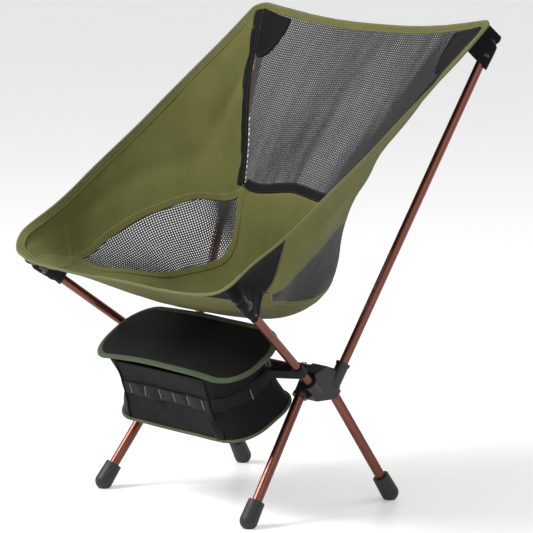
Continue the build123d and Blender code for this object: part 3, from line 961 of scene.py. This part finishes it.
floor_sheet = bag_plate("bag_floor_panel", bag_floor_middle, bag_floor_slope, bag_half_length + 0.0015,
                        bag_half_depth + 0.0015, bag_corner + 0.0015, floor_height, 0.0016)
sewn(floor_sheet, "hub_frame", ["bag_floor"], bag_cloth)
lid_sheet = bag_plate("bag_lid_panel", lid_middle, lid_slope, lid_half_length, lid_half_depth, lid_corner,
                      lid_height, 0.0022)
sewn(lid_sheet, "bag_lid", ["bag_lid"], bag_cloth)


def plate_edge(middle, slope, half_length, half_depth, corner, height_at):
    def frame_at(b):
        x, w = outline(b * 4, half_length, half_depth, corner)
        spots = [on_plane(middle, slope, x + dx, w + dw, height_at(x + dx, w + dw))
                 for dx, dw in ((0, 0), (-0.003, 0), (0.003, 0), (0, -0.003), (0, 0.003))]
        return spots[0], (spots[2] - spots[1]).cross(spots[4] - spots[3]).normalized()
    return frame_at


floor_edge = plate_edge(bag_floor_middle, bag_floor_slope, bag_half_length + 0.0015, bag_half_depth + 0.0015,
                        bag_corner + 0.0015, floor_height)
lid_edge = plate_edge(lid_middle, lid_slope, lid_half_length, lid_half_depth, lid_corner, lid_height)
for name, edge, body, thickness in (("floor", floor_edge, "hub_frame", 0.0042),
                                    ("lid", lid_edge, "bag_lid", 0.0032)):
    binding = band(f"bag_{name}_binding", edge, 0.0095, thickness, 360, closed=True, shift=0.0035)
    sewn(binding, body, [], green_tape)
    thread = stitches(f"bag_{name}_stitching", edge,
                      [(0.0065, h) for h in (-thickness * 0.45, thickness * 0.45)], samples=600)
    sewn(thread, body, [], thread_black)

# Corner seams of the wall band, and the webbing sewn along it
def wall_frame(t, b):
    point = bag_wall_point(t, b)
    across = bag_wall_point(t + 0.01, b) - bag_wall_point(t - 0.01, b)
    up = bag_wall_point(t, min(b + 0.02, 1)) - bag_wall_point(t, max(b - 0.02, 0))
    return point, across.cross(up).normalized()


for index, name in enumerate(("front_right", "back_right", "back_left", "front_left")):
    seam_t = index + 1.0
    piping = band(f"bag_seam_{name}", lambda b, t=seam_t: wall_frame(t, 0.02 + 0.96 * b), 0.005, 0.003, 40)
    sewn(piping, "hub_frame", [], black_tape)

daisy_height = 0.55
tacks_front = [0.08 + 0.168 * i for i in range(6)]


def daisy_line(low_t, high_t, tacks):
    """frame_at for webbing that bows out between its bartacks."""
    def frame_at(b):
        t = low_t + (high_t - low_t) * b
        point, normal = wall_frame(t, daisy_height)
        share = t % 1
        before = max([x for x in tacks if x <= share], default=tacks[0])
        after = min([x for x in tacks if x > share], default=tacks[-1])
        bow = math.sin(math.pi * (share - before) / (after - before)) if after > before else 0
        return point + normal * (0.0009 + 0.0016 * max(bow, 0)), normal
    return frame_at


def bartack(name, t, line_height, height=0.0165):
    """Dense bar of zigzag stitches across a webbing."""
    def frame_at(b):
        point, normal = wall_frame(t, line_height + (b - 0.5) * height / 0.098)
        return point + normal * 0.0018, normal
    return band(name, frame_at, 0.0016, 0.0013, 24, sides=8)


daisy = band("bag_webbing_front", daisy_line(0.01, 0.99, tacks_front), 0.020, 0.0013, 180)
sewn(daisy, "hub_frame", [], webbing)
for i, share in enumerate(tacks_front):
    sewn(bartack(f"bag_bartack_front_{i + 1}", share, daisy_height), "hub_frame", [],
         tack_green)
tacks_end = [0.42, 0.66]
for side, start in (("right", 1), ("left", 3)):
    shares = tacks_end if side == "right" else [1 - x for x in reversed(tacks_end)]
    daisy = band(f"bag_webbing_end_{side}", daisy_line(start + 0.02, start + 0.98, shares), 0.020,
                 0.0013, 120)
    sewn(daisy, "hub_frame", [], webbing)
    for i, share in enumerate(shares):
        tack = bartack(f"bag_bartack_end_{side}_{i + 1}", start + share,
                       daisy_height + (0.22 if i % 2 else -0.05))
        sewn(tack, "hub_frame", [], tack_green)

# tab at the foot of the front right seam
tab = band("bag_tab_corner", lambda b: wall_frame(1.0, 0.02 + 0.30 * b), 0.017, 0.0022, 30, lift=0.001)
sewn(tab, "hub_frame", [], webbing)


# Straps: webbing from each end of the bag, looped round the front arm
strap_from_hub, strap_width, ring_radius = 0.034, 0.025, 0.0075
for side, sign in (("right", 1), ("left", -1)):
    tip, mouth = (p.copy() for p in arm_axis["front"])
    tip.x *= sign
    mouth.x *= sign
    way = (tip - mouth).normalized()
    ring_middle = mouth + way * strap_from_hub
    bag_side = Vector((sign * (bag_half_length + 0.0005), -0.098, ring_middle.z - 0.002))
    to_bag = bag_side - ring_middle
    to_bag -= way * to_bag.dot(way)
    reach = to_bag.length
    to_bag.normalize()
    over = way.cross(to_bag)

    def loop_at(b, ring_middle=ring_middle, to_bag=to_bag, over=over, way=way, reach=reach,
                bag_side=bag_side):
        """Out along the top, round the arm and back underneath."""
        def place(share):
            turn = math.acos(min(ring_radius / reach, 1))
            if share < 0.3 or share > 0.7:
                s = share / 0.3 if share < 0.3 else (1 - share) / 0.3
                up = 1 if share < 0.3 else -1
                tangent = (to_bag * math.cos(turn) + over * up * math.sin(turn)) * ring_radius
                start = bag_side - ring_middle + over * up * 0.0011
                slide = start.lerp(tangent, s)
                return ring_middle + slide
            angle = turn + (2 * math.pi - 2 * turn) * (share - 0.3) / 0.4
            return ring_middle + (to_bag * math.cos(angle) + over * math.sin(angle)) * ring_radius
        here, ahead = place(max(b, 0)), place(min(b + 0.002, 1))
        behind = place(max(b - 0.002, 0))
        tangent_way = (ahead - behind).normalized()
        return here, tangent_way.cross(way).normalized()

    strap = band(f"bag_strap_webbing_{side}", loop_at, strap_width * 0.8, 0.0016, 120)
    sewn(strap, "hub_frame", [f"bag_strap_{side}"], webbing)

bpy.context.view_layer.update()
